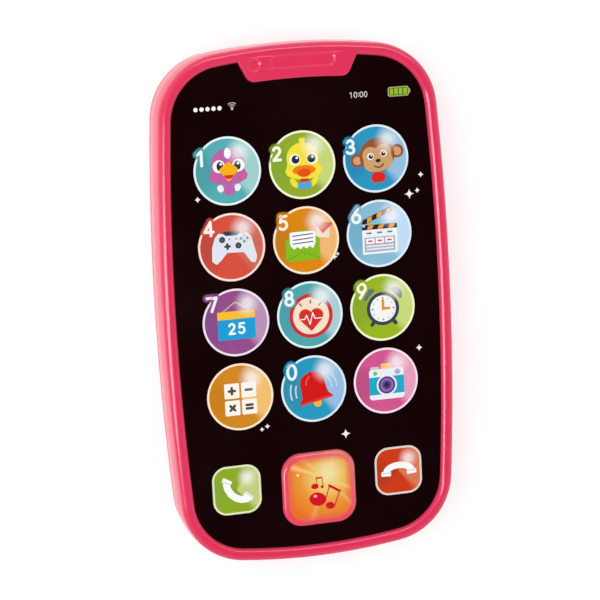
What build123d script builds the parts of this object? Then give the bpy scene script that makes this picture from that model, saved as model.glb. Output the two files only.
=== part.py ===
from build123d import *
from math import cos, radians, sin
import os

# A toy cell phone, lying on its back. Millimetres.
# +Z comes out of the screen, +Y runs to the top of the phone and +X to its right.
# The origin is under the middle of the phone, on the surface it lies on.

# Outline of the screen opening: a barrel shape, with bowed sides and ends and round corners
SCREEN_HALF_W = 38.05
SCREEN_HALF_H = 69.1
SIDE_BOW = 2.85
END_BOW = 3.6
SCREEN_CORNER_R = 15.3

# Shell: offsets are measured outward from the screen opening
WIDEST = 3.9
SEAM_OFFSET = 3.5
SHOULDER_OFFSET = 3.45
SHOULDER_R = 1.8
CREST_OFFSET = 1.45
WALL_T = 2.0
BACK_EDGE_R = 9.0
PHONE_T = 21.5
WIDEST_Z = 14.5
SEAM_Z = 10.0
SEAM_GAP = 0.2
FLOOR_T = 2.0

# Levels behind the screen
FILM_TOP = 20.2
FILM_T = 0.5
PLATE_T = 1.6
PLATE_TOP = FILM_TOP - FILM_T
PLATE_BOTTOM = PLATE_TOP - PLATE_T
BOARD_BOTTOM = 14.0
BOARD_T = 1.2
BOARD_TOP = BOARD_BOTTOM + BOARD_T
PAD_T = 0.8
PAD_TOP = BOARD_TOP + PAD_T
RUBBER_TOP = 17.25

# Notch tab of the front shell, with the camera dimple and the earpiece slot
NOTCH_TOP_HALF_W = 17.7
NOTCH_BOTTOM_HALF_W = 14.0
NOTCH_BOTTOM_Y = 63.3
NOTCH_BOTTOM_BOW = 0.55
NOTCH_CORNER_R = 2.7
NOTCH_EDGE_R = 0.6
DIMPLE = (-12.5, 67.6)
DIMPLE_R = 2.0
EARPIECE = (1.4, 67.9)
EARPIECE_SIZE = (18.6, 4.0)
DEBOSS = 0.4
DEBOSS_SLOPE = 60

# Keys
KEY_R = 9.9
KEY_PITCH_X = 21.3
KEY_PITCH_Y = 21.1
TOP_ROW_Y = 39.2
KEY_FLANGE = 0.5
KEY_FLANGE_Z = 17.3
KEY_FLANGE_T = 0.7
KEY_GAP = 0.1
CALL_KEY_SIZE = 14.4
CALL_KEY_CORNER_R = 4.3
CALL_KEY_X = 23.8
CALL_KEY_Y = -50.6
MUSIC_Y = -52.8
MUSIC_SIZE = (21.5, 21.1)
MUSIC_CORNER_R = 5.6
MUSIC_TOP = 21.4
MUSIC_SHOULDER_R = 1.1
MUSIC_WALL = 2.2
MUSIC_ROOF = 1.2
MUSIC_GAP = 0.15
LABEL_T = 0.6
DOME_R = 4.6
MUSIC_DOME_R = 1.7
MUSIC_DOME_X = 9.0
DOME_WALL = 0.9
DOME_TAPER = 20
PILL_T = 0.08
REFLECTOR = (14.0, 13.6, 2.5)
REFLECTOR_WALL = 0.8
REFLECTOR_H = 2.4

# Screws and posts
CORNER_SCREWS = [(29.0, 58.0), (-29.0, 58.0), (24.0, -62.5), (-24.0, -62.5)]
SIDE_SCREWS = [(33.6, 7.5), (-33.6, 7.5)]
HOUSING_SCREWS = CORNER_SCREWS + SIDE_SCREWS
BOSS_R = 3.0
SCREW_R = 1.1
PILOT_R = 0.95
SCREW_HEAD_R = 2.2
WELL_R = 2.6
WELL_DEPTH = 6.0
REAR_BOSS_TOP = 11.9
POSTS = [(10.65, 28.6), (-10.65, 28.6), (10.65, -34.7), (-10.65, -34.7)]
POST_R = 1.9
SMALL_SCREW_R = 0.85
SMALL_PILOT_R = 0.8
SMALL_HEAD_R = 1.7
LIP_T = 0.9
LIP_H = 1.4
CROSS = (1.3, 0.3, 0.8)

# Battery tray, door and AAA cells
CELL_R = 5.25
CELL_X = 5.6
CELL_Z = 7.35
CELL_BODY_L = 43.5
NUB_R = 1.9
NUB_L = 1.6
SPRING_R = 3.0
SPRING_WIRE_R = 0.3
SPRING_TURNS = 3.5
CONTACT_T = 0.4
CONTACT_Z = (3.0, 12.0)
TRAY_HALF_W = 11.3
TRAY_Y = (-32.7, 16.7)
TRAY_ROOF = 12.8
TRAY_WALL = 1.0
DOOR_HALF_W = 14.0
DOOR_Y = (-41.0, 17.5)
DOOR_Z = (0.3, 1.8)
DOOR_GAP = 0.15
DOOR_TAB_X = 10.2
DOOR_TAB_W = 1.8
DOOR_TAB_TOP = 3.3
DOOR_SCREW_Y = -37.0
DOOR_SCREW_HEAD_R = 2.3

# Speaker and switch
SPEAKER_Y = 45.5
SPEAKER_R = 14.0
SPEAKER_EAR = 2.9
GRILLE_HOLE_R = 1.1
GRILLE_RINGS = ((4.2, 6), (8.4, 12))
SWITCH_Y = 24.2
SWITCH_TRAVEL = 4.0
SWITCH_THUMB_W = 4.6
WIRE_R = 0.55

# Parts on the board
CHIP_PLACE = (-22.0, 33.0)
CHIP_BLOB_R = 9.0
CHIP_BLOB_H = 1.6
LED_SIZE = (3.4, 2.8)
LED_H = 1.3
LED_X = 3.0
RESISTOR_SIZE = (1.2, 2.0)
RESISTOR_H = 0.6
RESISTORS = [(20.0, 27.0), (23.0, 27.0), (26.0, 27.0), (29.0, 27.0), (20.0, 31.0), (23.0, 31.0)]
CAPACITOR_PLACE = (-26.0, -20.0)
CAPACITOR_R = 2.5
CAPACITOR_H = 5.9


def at(x, y, z=0.0):
    """A plain shift, to place a shape that was made at the origin."""
    return Pos(x, y, z)


def slab(face, low, high):
    """The face, which lies at Z = 0, stretched between two levels."""
    return at(0, 0, low) * extrude(face, amount=high - low)


def disc(radius, low, high, x=0.0, y=0.0):
    return at(x, y, low) * extrude(Circle(radius), amount=high - low)


def round_box(width, height, corner_r, low, high, x=0.0, y=0.0):
    return at(x, y, low) * extrude(RectangleRounded(width, height, corner_r), amount=high - low)


def block(x_range, y_range, z_range):
    """A box between two corners."""
    size = [high - low for low, high in (x_range, y_range, z_range)]
    middle = [(high + low) / 2 for low, high in (x_range, y_range, z_range)]
    return at(*middle) * Box(*size)


def one(shape):
    """The single solid that a fused shape holds."""
    solids = shape.solids()
    assert len(solids) == 1, f"{len(solids)} solids where one was meant"
    return solids[0]


def group(solids):
    return Compound(children=list(solids))


def screen_outline(outset=0.0):
    """The barrel-shaped face of the screen opening, grown or shrunk by outset."""
    corner_x = SCREEN_HALF_W - SIDE_BOW
    corner_y = SCREEN_HALF_H - END_BOW
    edges = [
        ThreePointArc((corner_x, -corner_y), (SCREEN_HALF_W, 0), (corner_x, corner_y)),
        ThreePointArc((corner_x, corner_y), (0, SCREEN_HALF_H), (-corner_x, corner_y)),
        ThreePointArc((-corner_x, corner_y), (-SCREEN_HALF_W, 0), (-corner_x, -corner_y)),
        ThreePointArc((-corner_x, -corner_y), (0, -SCREEN_HALF_H), (corner_x, -corner_y)),
    ]
    face = make_face(edges)
    face = fillet(face.vertices(), SCREEN_CORNER_R)
    return offset(face, outset, kind=Kind.ARC) if outset else face


def swept_ring(profile):
    """A section of (offset outward, height), swept once round the screen opening."""
    path = screen_outline().face().outer_wire()
    start = path @ 0
    along = path % 0
    outward = along.cross(Vector(0, 0, 1))
    if outward.dot(start) < 0:
        outward = outward * -1
    section = Plane(start, x_dir=outward, z_dir=outward.cross(Vector(0, 0, 1)))
    return sweep(section * profile, path=path)


def key_centres():
    """The twelve round keys, row by row from the top, three to a row."""
    names = [f"key_{n}" for n in range(1, 10)] + ["key_calculator", "key_0", "key_camera"]
    places = [
        ((column - 1) * KEY_PITCH_X, TOP_ROW_Y - row * KEY_PITCH_Y)
        for row in range(4)
        for column in range(3)
    ]
    return dict(zip(names, places))


def call_key_centres():
    return {"key_answer": (-CALL_KEY_X, CALL_KEY_Y), "key_hang_up": (CALL_KEY_X, CALL_KEY_Y)}


def key_holes(low, high):
    """Everything that is cut away for the keys, in the screen sheet and in the plate behind it."""
    holes = [disc(KEY_R + KEY_GAP, low, high, x, y) for x, y in key_centres().values()]
    size = CALL_KEY_SIZE + 2 * KEY_GAP
    for x, y in call_key_centres().values():
        holes.append(round_box(size, size, CALL_KEY_CORNER_R + KEY_GAP, low, high, x, y))
    width, height = (side + 2 * MUSIC_GAP for side in MUSIC_SIZE)
    holes.append(round_box(width, height, MUSIC_CORNER_R + MUSIC_GAP, low, high, 0, MUSIC_Y))
    return holes


def notch_face(outset=0.0):
    """The notch tab: it hangs from the top rim, narrows downwards and follows the rim's bow."""
    top_left = (-NOTCH_TOP_HALF_W, SCREEN_HALF_H + 1)
    top_right = (NOTCH_TOP_HALF_W, SCREEN_HALF_H + 1)
    low_left = (-NOTCH_BOTTOM_HALF_W, NOTCH_BOTTOM_Y - NOTCH_BOTTOM_BOW)
    low_right = (NOTCH_BOTTOM_HALF_W, NOTCH_BOTTOM_Y - NOTCH_BOTTOM_BOW)
    edges = [
        Line(top_left, low_left),
        ThreePointArc(low_left, (0, NOTCH_BOTTOM_Y), low_right),
        Line(low_right, top_right),
        Line(top_right, top_left),
    ]
    face = make_face(edges)
    low_corners = face.vertices().sort_by(Axis.Y)[:2]
    face = fillet(low_corners, NOTCH_CORNER_R)
    return offset(face, outset, kind=Kind.ARC) if outset else face


def debossed(shape, x, y):
    """What a shallow mark with sloping sides takes out of the top of the front housing."""
    return at(x, y, PHONE_T) * Rot(180, 0, 0) * extrude(shape, amount=DEBOSS, taper=DEBOSS_SLOPE)


def front_housing():
    wall = ThreePointArc((SEAM_OFFSET, SEAM_Z), (WIDEST, WIDEST_Z), (SHOULDER_OFFSET, PHONE_T))
    crest = Line((SHOULDER_OFFSET, PHONE_T), (CREST_OFFSET, PHONE_T))
    inner_r = PHONE_T - FILM_TOP
    inner_round = CenterArc((CREST_OFFSET, FILM_TOP), inner_r, 90, 90)
    inner_edge = CREST_OFFSET - inner_r
    wall_inside = SEAM_OFFSET - WALL_T + 0.1
    inside = Polyline(
        (inner_edge, FILM_TOP),
        (inner_edge, PLATE_BOTTOM),
        (wall_inside, PLATE_BOTTOM),
        (wall_inside, SEAM_Z),
        (SEAM_OFFSET, SEAM_Z),
    )
    section = make_face([wall, crest, inner_round, *inside.edges()])
    shoulder = section.vertices().sort_by_distance((SHOULDER_OFFSET, PHONE_T))[0]
    ring = swept_ring(fillet(shoulder, SHOULDER_R))

    shell = ring + slab(screen_outline(inner_edge + 0.3), PLATE_BOTTOM, PLATE_TOP)
    tab = slab(notch_face() & screen_outline(CREST_OFFSET + 0.2), PLATE_TOP - 0.1, PHONE_T)
    top_edges = tab.edges().group_by(Axis.Z)[-1]
    shell += fillet(top_edges.sort_by(Axis.Y)[:-1], NOTCH_EDGE_R)
    shell -= debossed(Circle(DIMPLE_R), *DIMPLE)
    shell -= debossed(RectangleRounded(*EARPIECE_SIZE, EARPIECE_SIZE[1] / 2 - 0.4), *EARPIECE)
    for x, y in HOUSING_SCREWS:
        shell += disc(BOSS_R, REAR_BOSS_TOP + 0.1, PLATE_BOTTOM + 0.5, x, y)
        shell -= disc(PILOT_R, REAR_BOSS_TOP, PLATE_BOTTOM, x, y)
    for x, y in POSTS:
        shell += disc(POST_R, BOARD_TOP, PLATE_BOTTOM + 0.5, x, y)
        shell -= disc(SMALL_PILOT_R, BOARD_TOP, PLATE_BOTTOM - 0.3, x, y)
    for hole in key_holes(PLATE_BOTTOM - 1, PLATE_TOP + 1):
        shell -= hole
    return one(shell)


def battery_tray():
    """The walls and the roof over the cells, and the block that takes the door's screw."""
    outer_x = (-DOOR_HALF_W - 1.3, DOOR_HALF_W + 1.3)
    tray = block(outer_x, (DOOR_Y[0] - 1.5, TRAY_Y[1] + 2.1), (FLOOR_T - 0.5, 5.0))
    inner_x = (-TRAY_HALF_W - 1.2, TRAY_HALF_W + 1.2)
    tray += block(inner_x, (TRAY_Y[0] - 1.2, TRAY_Y[1] + 2.1), (4.0, TRAY_ROOF + TRAY_WALL))
    tray += block((-5.0, 5.0), (DOOR_Y[0] - 0.5, TRAY_Y[0] - 1.0), (4.0, 9.5))
    return tray


def tray_space():
    """What is empty in the tray: the cells' bay, the door's recess, its tabs and its screw."""
    bay = block((-TRAY_HALF_W, TRAY_HALF_W), TRAY_Y, (-1.0, TRAY_ROOF))
    recess_w = DOOR_HALF_W + DOOR_GAP
    recess_y = (DOOR_Y[0] - DOOR_GAP, DOOR_Y[1] + DOOR_GAP)
    space = [bay, block((-recess_w, recess_w), recess_y, (-1.0, FLOOR_T))]
    for side in (-1, 1):
        middle = side * DOOR_TAB_X
        half = DOOR_TAB_W / 2 + 0.2
        tab_y = (TRAY_Y[1] - 0.5, TRAY_Y[1] + 3.2)
        space.append(block((middle - half, middle + half), tab_y, (FLOOR_T, 4.4)))
    for x in (-CELL_X, CELL_X):
        tag_y = (TRAY_Y[1] - 0.5, TRAY_Y[1] + 3.2)
        space.append(block((x - 1.2, x + 1.2), tag_y, (9.0, 10.2)))
    space.append(disc(3.9, 1.0, 4.1, 0, DOOR_SCREW_Y))
    relief = SlotCenterToCenter(0.8, 2.6, rotation=90)
    space.append(at(0, DOOR_SCREW_Y - 0.4, 3.0) * extrude(relief, amount=5.8))
    return space


def rear_housing():
    rim = SEAM_Z - SEAM_GAP
    arc_x = SEAM_OFFSET - BACK_EDGE_R
    flat_x = arc_x - 1.5
    inner_r = BACK_EDGE_R - WALL_T
    lip = (SEAM_OFFSET - WALL_T - LIP_T, SEAM_OFFSET - WALL_T)
    lip_top = SEAM_Z + LIP_H
    profile = [
        Line((SEAM_OFFSET, rim), (SEAM_OFFSET, BACK_EDGE_R)),
        CenterArc((arc_x, BACK_EDGE_R), BACK_EDGE_R, 0, -90),
        Polyline((arc_x, 0), (flat_x, 0), (flat_x, FLOOR_T), (arc_x, FLOOR_T)),
        CenterArc((arc_x, BACK_EDGE_R), inner_r, -90, 60),
    ]
    turn = radians(-30)
    inside_end = (arc_x + inner_r * cos(turn), BACK_EDGE_R + inner_r * sin(turn))
    profile.append(
        Polyline(inside_end, (lip[0], lip_top), (lip[1], lip_top), (lip[1], rim), (SEAM_OFFSET, rim))
    )
    edges = [edge for line in profile for edge in line.edges()]
    shell = swept_ring(make_face(edges)) + slab(screen_outline(arc_x - 0.5), 0, FLOOR_T)

    for x, y in HOUSING_SCREWS:
        shell += disc(BOSS_R + 0.6, FLOOR_T - 0.1, REAR_BOSS_TOP, x, y)
    for x, y in HOUSING_SCREWS:
        shell -= disc(WELL_R, -1, WELL_DEPTH, x, y)
        shell -= disc(SCREW_R + 0.15, WELL_DEPTH - 1, REAR_BOSS_TOP + 1, x, y)
    shell += battery_tray()
    for space in tray_space():
        shell -= space

    ring = Circle(SPEAKER_R + 1.4) - Circle(SPEAKER_R + 0.2)
    shell += at(0, SPEAKER_Y, FLOOR_T - 0.5) * extrude(ring, amount=3.0)
    for x, y in speaker_screw_places():
        shell += disc(2.2, FLOOR_T - 0.5, 3.4, x, y)
        shell -= disc(SMALL_PILOT_R, FLOOR_T - 0.3, 4, x, y)
    for x, y in speaker_hole_places():
        shell -= disc(GRILLE_HOLE_R, -1, FLOOR_T + 1, x, y)

    slot = (SWITCH_THUMB_W + SWITCH_TRAVEL) / 2 + 0.2
    shell -= block((-slot, slot), (SWITCH_Y - 2.1, SWITCH_Y + 2.1), (-1, FLOOR_T + 1))
    for side in (-1, 1):
        post_y = SWITCH_Y + side * 4.0
        post_y_range = (post_y - 0.55, post_y + 0.55)
        shell += block((-6.5, 6.5), post_y_range, (FLOOR_T - 0.5, 4.6))
    return one(shell)


def speaker_hole_places():
    """A round grille: one hole in the middle and rings of six and twelve round it."""
    places = [(0.0, SPEAKER_Y)]
    for ring_r, count in GRILLE_RINGS:
        for i in range(count):
            angle = radians(360 / count * i)
            places.append((ring_r * cos(angle), SPEAKER_Y + ring_r * sin(angle)))
    return places


def speaker_screw_places():
    reach = SPEAKER_R + SPEAKER_EAR
    return [(reach * cos(radians(a)), SPEAKER_Y + reach * sin(radians(a))) for a in (0, 180)]


def screen_film():
    sheet = screen_outline(0.05) - notch_face(0.1)
    film = slab(sheet, PLATE_TOP, FILM_TOP)
    for hole in key_holes(PLATE_TOP - 1, FILM_TOP + 1):
        film -= hole
    return one(film)


def round_key(x, y):
    cap = disc(KEY_R, KEY_FLANGE_Z, FILM_TOP, x, y)
    return one(cap + disc(KEY_R + KEY_FLANGE, KEY_FLANGE_Z, KEY_FLANGE_Z + KEY_FLANGE_T, x, y))


def call_key(x, y):
    size, corner_r = CALL_KEY_SIZE, CALL_KEY_CORNER_R
    cap = round_box(size, size, corner_r, KEY_FLANGE_Z, FILM_TOP, x, y)
    flange_size = size + 2 * KEY_FLANGE
    flange_r = corner_r + KEY_FLANGE
    flange_top = KEY_FLANGE_Z + KEY_FLANGE_T
    return one(cap + round_box(flange_size, flange_size, flange_r, KEY_FLANGE_Z, flange_top, x, y))


def music_button():
    """A clear pink cap, hollow underneath, with a soft shoulder all round its top."""
    width, height = MUSIC_SIZE
    low = KEY_FLANGE_Z
    cap = round_box(width, height, MUSIC_CORNER_R, low, MUSIC_TOP)
    cap = fillet(cap.edges().group_by(Axis.Z)[-1], MUSIC_SHOULDER_R)
    wide, high = (side + 2 * KEY_FLANGE for side in MUSIC_SIZE)
    cap += round_box(wide, high, MUSIC_CORNER_R + KEY_FLANGE, low, low + KEY_FLANGE_T)
    inner_w, inner_h = (side - 2 * MUSIC_WALL for side in MUSIC_SIZE)
    cap -= round_box(inner_w, inner_h, MUSIC_CORNER_R - 2.0, low - 1, MUSIC_TOP - MUSIC_ROOF)
    return one(at(0, MUSIC_Y) * cap)


def music_label():
    """The printed insert that sits up under the top of the music button."""
    width, height = (side - 2 * MUSIC_WALL - 0.2 for side in MUSIC_SIZE)
    top = MUSIC_TOP - MUSIC_ROOF - 0.05
    return one(round_box(width, height, MUSIC_CORNER_R - 2.1, top - LABEL_T, top, 0, MUSIC_Y))


def light_reflector():
    """A white frame on the board that keeps the light under the music button."""
    outer = RectangleRounded(*REFLECTOR)
    walls = outer - offset(outer, -REFLECTOR_WALL, kind=Kind.ARC)
    return one(at(0, MUSIC_Y, BOARD_TOP) * extrude(walls, amount=REFLECTOR_H))


def rubber_places():
    """Where a rubber dome stands: one under each key, two under the music button."""
    places = list(key_centres().values()) + list(call_key_centres().values())
    return places + [(-MUSIC_DOME_X, MUSIC_Y), (MUSIC_DOME_X, MUSIC_Y)]


def rubber_dome_r(x, y):
    """The small domes are the two that stand beside the reflector."""
    return MUSIC_DOME_R if (abs(x), y) == (MUSIC_DOME_X, MUSIC_Y) else DOME_R


def clear_of_posts(shape, low, high, room):
    """Takes the holes for the screw bosses and for the board's posts out of a sheet."""
    for x, y in HOUSING_SCREWS:
        shape -= disc(BOSS_R + 0.7 + room, low, high, x, y)
    for x, y in POSTS:
        shape -= disc(POST_R + room, low, high, x, y)
    return shape


def rubber_keypad():
    pad = slab(screen_outline(-4.0), BOARD_TOP, PAD_TOP)
    pad = clear_of_posts(pad, BOARD_TOP - 1, PAD_TOP + 1, 0.3)
    width, height, corner_r = (length + room for length, room in zip(REFLECTOR, (0.6, 0.6, 0.3)))
    pad -= round_box(width, height, corner_r, BOARD_TOP - 1, PAD_TOP + 1, 0, MUSIC_Y)
    for x, y in rubber_places():
        radius = rubber_dome_r(x, y)
        skirt = extrude(Circle(radius), amount=RUBBER_TOP - BOARD_TOP, taper=DOME_TAPER)
        pad += at(x, y, BOARD_TOP) * skirt
        pad -= disc(radius - DOME_WALL, BOARD_TOP - 1, PAD_TOP, x, y)
    return one(pad)


def contact_pills():
    """Carbon pills: each hangs under its dome, above its pad on the board."""
    pills = []
    for x, y in rubber_places():
        radius = rubber_dome_r(x, y) - DOME_WALL - 0.3
        pills.append(disc(radius, PAD_TOP - PILL_T, PAD_TOP, x, y))
    return group(pills)


def circuit_board():
    board = slab(screen_outline(-2.5), BOARD_BOTTOM, BOARD_TOP)
    for x, y in HOUSING_SCREWS:
        board -= disc(BOSS_R + 0.9, BOARD_BOTTOM - 1, BOARD_TOP + 1, x, y)
    for x, y in POSTS:
        board -= disc(0.95, BOARD_BOTTOM - 1, BOARD_TOP + 1, x, y)
    return one(board)


def board_screws():
    """Small pan-head screws that hold the board against its posts."""
    places = [place for place in POSTS if place[1] > 0]
    shank_top = PLATE_BOTTOM - 0.8
    screws = []
    for x, y in places:
        head = disc(SMALL_HEAD_R, BOARD_BOTTOM - 1.1, BOARD_BOTTOM, x, y)
        screws.append(one(head + disc(SMALL_SCREW_R, BOARD_BOTTOM - 0.5, shank_top, x, y)))
    return group(screws)


def sound_chip():
    """The sealed blob over the bare sound chip, on the underside of the board."""
    r, flat = CHIP_BLOB_R, CHIP_BLOB_R - CHIP_BLOB_H
    blob = Sphere(r) & block((-r, r), (-r, r), (-r - 0.1, -flat))
    return one(at(*CHIP_PLACE, BOARD_BOTTOM + flat) * blob)


def leds():
    """Two surface-mounted lamps under the music button."""
    top = BOARD_TOP + LED_H
    return group(round_box(*LED_SIZE, 0.3, BOARD_TOP, top, x, MUSIC_Y) for x in (-LED_X, LED_X))


def resistors():
    """Six chip resistors in two rows on the underside of the board."""
    low = BOARD_BOTTOM - RESISTOR_H
    return group(round_box(*RESISTOR_SIZE, 0.1, low, BOARD_BOTTOM, x, y) for x, y in RESISTORS)


def capacitor():
    """The round electrolytic capacitor beside the tray."""
    top = BOARD_BOTTOM - 0.1
    can = disc(CAPACITOR_R, top - CAPACITOR_H, top, *CAPACITOR_PLACE)
    return one(fillet(can.edges().group_by(Axis.Z)[0], 0.4))


def speaker_piece(points):
    """A body of revolution about the speaker's axis, from a closed list of (radius, height)."""
    section = Plane.XZ * make_face(Polyline(*points, close=True))
    return one(at(0, SPEAKER_Y, FLOOR_T) * revolve(section, Axis.Z))


def speaker_frame():
    outside = [(11.6, 0.2), (14.0, 0.2), (14.0, 1.2), (12.6, 1.2), (8.0, 4.0), (0, 4.0)]
    inside = [(0, 3.4), (7.6, 3.4), (11.6, 0.9)]
    return speaker_piece(outside + inside)


def speaker_magnet():
    return speaker_piece([(0, 4.0), (6.5, 4.0), (6.5, 7.6), (0, 7.6)])


def speaker_cone():
    front = [(0, 1.6), (3.2, 1.0), (4.0, 2.6), (11.0, 0.3)]
    back = [(11.2, 0.6), (4.2, 3.1), (3.0, 1.6), (0, 2.2)]
    return speaker_piece(front + back)


def speaker_ring():
    """A flat ring with two ears that holds the speaker down."""
    low = FLOOR_T + 1.9
    top = low + 1.0
    reach = SPEAKER_R + SPEAKER_EAR
    ring = disc(SPEAKER_R + 1.2, low + 0.65, top, 0, SPEAKER_Y)
    ring += round_box(2 * reach + 5.0, 5.0, 2.4, low + 0.65, top, 0, SPEAKER_Y)
    ring += disc(SPEAKER_R - 0.1, FLOOR_T + 1.25, low + 0.8, 0, SPEAKER_Y)
    ring -= disc(SPEAKER_R - 1.3, FLOOR_T, top + 1, 0, SPEAKER_Y)
    for x, y in speaker_screw_places():
        ring -= disc(1.0, low, top + 1, x, y)
    return one(ring)


def speaker_screws():
    head_low = FLOOR_T + 2.9
    screws = []
    for x, y in speaker_screw_places():
        head = disc(SMALL_HEAD_R, head_low, head_low + 0.9, x, y)
        screws.append(one(head + disc(SMALL_SCREW_R, FLOOR_T, head_low + 0.4, x, y)))
    return group(screws)


def wire(points, bend):
    """A round wire along straight runs that are joined by tangent arcs."""
    path = FilletPolyline(*points, radius=bend)
    start = Plane(path @ 0, z_dir=path % 0)
    return one(sweep(start * Circle(WIRE_R), path=path))


def speaker_wires():
    """From the back of the speaker's frame up to the board."""
    pair = []
    for x in (-2.0, 2.0):
        near, far = SPEAKER_Y - 7.3, SPEAKER_Y - 10.5
        points = [(x, near, 6.1), (x, near, 8.2), (x, far, 10.4), (x, far, BOARD_BOTTOM - 0.05)]
        pair.append(wire(points, 1.2))
    return group(pair)


def battery_wires():
    """From the two end contacts of the tray up to the board."""
    pair = []
    for x in (-CELL_X, CELL_X):
        points = [(x, 19.75, 9.6), (x, 21.2, 9.6), (x, 21.4, 11.8), (x, 21.4, BOARD_BOTTOM - 0.05)]
        pair.append(wire(points, 0.7))
    return group(pair)


def switch_wires():
    pair = []
    for x in (-3.0, 3.0):
        near, far = SWITCH_Y, SWITCH_Y + 1.2
        points = [(x, near, 6.55), (x, near, 8.6), (x, far, 11.0), (x, far, BOARD_BOTTOM - 0.05)]
        pair.append(wire(points, 1.2))
    return group(pair)


def cell(x, plus_end):
    """One AAA cell, its nub at the end of the bay that plus_end (+1 or -1) points to."""
    end = TRAY_Y[1] if plus_end > 0 else TRAY_Y[0]
    shoulder = end - plus_end * NUB_L
    along = Plane((x, shoulder, CELL_Z), z_dir=(0, -plus_end, 0))
    can = extrude(Circle(CELL_R), amount=CELL_BODY_L)
    can = fillet(can.edges(), 0.4)
    nub = at(0, 0, 0.6 - NUB_L) * extrude(Circle(NUB_R), amount=NUB_L - 0.1)
    return one(along * (can + nub))


def battery_springs():
    """A coil spring behind the minus end of each cell."""
    length = TRAY_Y[1] - TRAY_Y[0] - NUB_L - CELL_BODY_L - CONTACT_T - 0.1
    wire_r = SPRING_WIRE_R
    height = length - 2 * wire_r
    springs = []
    for x, minus_end in ((-CELL_X, -1), (CELL_X, 1)):
        end = TRAY_Y[0] if minus_end < 0 else TRAY_Y[1]
        base = end - minus_end * CONTACT_T
        path = Helix(pitch=height / SPRING_TURNS, height=height, radius=SPRING_R)
        section = Plane(path @ 0, z_dir=path % 0) * Circle(wire_r)
        coil = sweep(section, path=path, is_frenet=True)
        place = Plane((x, base - minus_end * wire_r, CELL_Z), z_dir=(0, -minus_end, 0))
        springs.append(one(place * coil))
    return group(springs)


def battery_contacts():
    """The two plates at the wired end, each with a tag through the wall to its wire."""
    plates = []
    for x in (-CELL_X, CELL_X):
        plate = block((x - 3.5, x + 3.5), (TRAY_Y[1] - CONTACT_T, TRAY_Y[1]), CONTACT_Z)
        tag = block((x - 1.0, x + 1.0), (TRAY_Y[1] - 0.2, TRAY_Y[1] + 3.0), (9.2, 10.0))
        plates.append(one(plate + tag))
    return group(plates)


def battery_bridge():
    """The single plate that joins the two cells at the far end."""
    return one(block((-9.1, 9.1), (TRAY_Y[0], TRAY_Y[0] + CONTACT_T), CONTACT_Z))


def battery_door():
    plate = block((-DOOR_HALF_W, DOOR_HALF_W), DOOR_Y, DOOR_Z)
    plate = fillet(plate.edges().filter_by(Axis.Z), 1.2)
    plate = chamfer(plate.edges().group_by(Axis.Z)[0], 0.25)
    for side in (-1, 1):
        low, high = side * DOOR_TAB_X - DOOR_TAB_W / 2, side * DOOR_TAB_X + DOOR_TAB_W / 2
        foot = block((low, high), (DOOR_Y[1] - 3.0, DOOR_Y[1] - 1.2), (DOOR_Z[1] - 0.5, DOOR_TAB_TOP))
        tip = block((low, high), (DOOR_Y[1] - 3.0, DOOR_Y[1] + 1.9), (FLOOR_T + 0.1, DOOR_TAB_TOP))
        plate += foot + tip
    plate += disc(3.6, DOOR_Z[0] + 0.4, 3.8, 0, DOOR_SCREW_Y)
    plate -= disc(DOOR_SCREW_HEAD_R + 0.3, -1, 2.6, 0, DOOR_SCREW_Y)
    plate -= disc(1.2, -1, 5, 0, DOOR_SCREW_Y)
    for i in range(5):
        y = DOOR_Y[0] + 8.0 + 1.6 * i
        plate -= block((-5.0, 5.0), (y, y + 0.7), (-1, DOOR_Z[0] + 0.35))
    return one(plate)


def cross_recess(x, y, head_low):
    """The cross that a screwdriver fits, sunk into the head that faces down."""
    long, thin, depth = CROSS
    z_range = (head_low - 1, head_low + depth)
    along_x = block((x - long, x + long), (y - thin, y + thin), z_range)
    return along_x + block((x - thin, x + thin), (y - long, y + long), z_range)


def battery_door_screw():
    """Captive in the door: its head is too wide for the hole and its clip ring can't pass back."""
    head = disc(DOOR_SCREW_HEAD_R, 1.1, 2.55, 0, DOOR_SCREW_Y)
    screw = head + disc(1.0, 2.0, 8.2, 0, DOOR_SCREW_Y) - cross_recess(0, DOOR_SCREW_Y, 1.1)
    return one(screw)


def housing_screws():
    head_low = WELL_DEPTH - 1.6
    screws = []
    for x, y in HOUSING_SCREWS:
        screw = disc(SCREW_HEAD_R, head_low, WELL_DEPTH, x, y) + disc(SCREW_R, 5.0, 17.0, x, y)
        screws.append(one(screw - cross_recess(x, y, head_low)))
    return group(screws)


def switch_body():
    case = block((-6.0, 6.0), (SWITCH_Y - 3.3, SWITCH_Y + 3.3), (2.95, 6.5))
    case -= block((-4.2, 4.2), (SWITCH_Y - 1.0, SWITCH_Y + 1.0), (2.0, 5.2))
    return one(case)


def switch_knob():
    """Drawn at the off end of its slot. A wide plate inside keeps it from falling out."""
    middle = -SWITCH_TRAVEL / 2
    half_w = SWITCH_THUMB_W / 2
    thumb = block((middle - half_w, middle + half_w), (SWITCH_Y - 1.9, SWITCH_Y + 1.9), (0.5, 2.2))
    for i in (-1, 0, 1):
        x = middle + 1.3 * i
        thumb -= block((x - 0.25, x + 0.25), (SWITCH_Y - 3, SWITCH_Y + 3), (0, 0.9))
    plate = block((middle - 3.4, middle + 3.4), (SWITCH_Y - 2.9, SWITCH_Y + 2.9), (2.1, 2.7))
    stem = block((middle - 0.8, middle + 0.8), (SWITCH_Y - 0.8, SWITCH_Y + 0.8), (2.5, 4.8))
    return one(thumb + plate + stem)


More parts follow.
